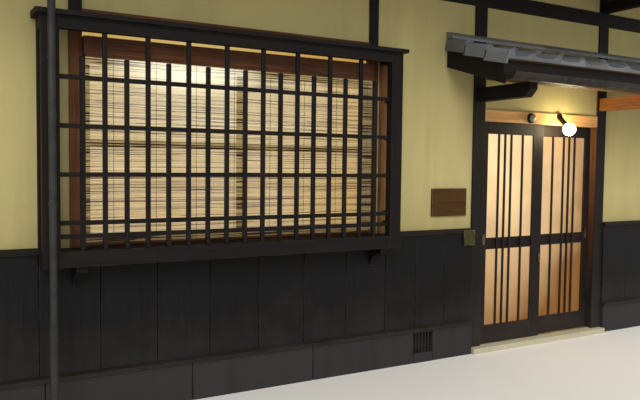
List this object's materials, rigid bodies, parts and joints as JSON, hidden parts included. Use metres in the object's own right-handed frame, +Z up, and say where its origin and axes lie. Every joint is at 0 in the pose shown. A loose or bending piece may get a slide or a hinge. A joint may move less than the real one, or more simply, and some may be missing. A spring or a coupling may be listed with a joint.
{
  "type": "machiya townhouse",
  "caption": "Two-storey timber townhouse for a row, with a projecting lattice window, a sliding lattice entrance under a tiled canopy, and tiled eaves and roof.",
  "frame": {"origin": "on the ground, at the middle of the plan", "axes": "+X along the street front, to the right for someone who faces it; the street is at -Y; +Z up"},
  "size_m": [7.09, 9.86, 7.0993],
  "materials": {
    "dark_timber": "dark stain, satin, worn along the edges",
    "lattice_timber": "dark stain, satin",
    "brown_timber": "brown oiled softwood",
    "door_timber": "dark stain, satin",
    "dado_wood": "charred dark boards, matt",
    "floor_wood": "bare boards, matt",
    "roof_wood": "weathered softwood, matt",
    "plaster": "fine trowelled plaster, matt",
    "party_plaster": "plain weathered plaster, matt",
    "plinth_stone": "rough mortar face, matt",
    "sill_stone": "dressed pale stone, matt",
    "earth_floor": "beaten floor, matt",
    "roof_tile": "smoked clay tile, semi-matt",
    "gutter_metal": "dark brown paint, satin",
    "pipe_metal": "dark grey paint, satin",
    "track_metal": "worn brass",
    "lit_glass": "frosted",
    "door_glass": "frosted",
    "window_glass": "clear, slightly uneven",
    "reed": "dry split reed, matt",
    "board_wood": "oiled board, satin",
    "lamp_metal": "black enamel, satin",
    "lamp_glass": "opal"
  },
  "bodies": {
    "house": {"plinth": "plinth_stone", "ground_sills": "dark_timber", "ground_floor": "earth_floor", "upper_floor": "floor_wood", "posts": "dark_timber", "wall_beams": "dark_timber", "front_plaster": "plaster", "back_plaster": "plaster", "party_walls": "party_plaster", "dado_boards": "dado_wood", "dado_rails": "dark_timber", "bay_posts": "lattice_timber", "bay_rails": "lattice_timber", "bay_boards": "lattice_timber", "bay_lattice": "lattice_timber", "bay_side_lattices": "lattice_timber", "bay_brackets": "lattice_timber", "window_timbers": "brown_timber", "window_sashes": "brown_timber", "bay_window_glass": "lit_glass", "upper_and_back_glass": "window_glass", "reed_blind": "reed", "upper_lattices": "lattice_timber", "door_sill_stone": "sill_stone", "door_tracks": "track_metal", "door_head": "brown_timber", "canopy_rafters": "roof_wood", "canopy_boards": "roof_wood", "canopy_tiles": "roof_tile", "canopy_purlin": "roof_wood", "canopy_arms": "dark_timber", "canopy_gutter": "gutter_metal", "edge_boards": "dark_timber", "eave_arms": "dark_timber", "eave_purlins": "roof_wood", "eave_rafters": "roof_wood", "eave_boards": "roof_wood", "eave_tiles": "roof_tile", "eave_gutters": "gutter_metal", "roof_copings": "roof_tile", "roof_rafters": "roof_wood", "roof_boards": "roof_wood", "roof_tiles": "roof_tile", "roof_gutters": "gutter_metal", "roof_purlins": "roof_wood", "roof_ridge": "roof_tile", "name_boards": "board_wood", "lamp_holders": "lamp_metal", "lamp_globes": "lamp_glass", "downspout": "pipe_metal", "pipe_clips": "pipe_metal"},
    "left_leaf": {"left_leaf_frame": "door_timber", "left_leaf_glass": "door_glass"},
    "right_leaf": {"right_leaf_frame": "door_timber", "right_leaf_glass": "door_glass"}
  },
  "joints": [
    {"name": "left_leaf_slide", "type": "slide", "parent": "house", "child": "left_leaf", "axis": [1, 0, 0], "range_m": [0, 0.655]},
    {"name": "right_leaf_slide", "type": "slide", "parent": "house", "child": "right_leaf", "axis": [-1, 0, 0], "range_m": [0, 0.655]}
  ]
}
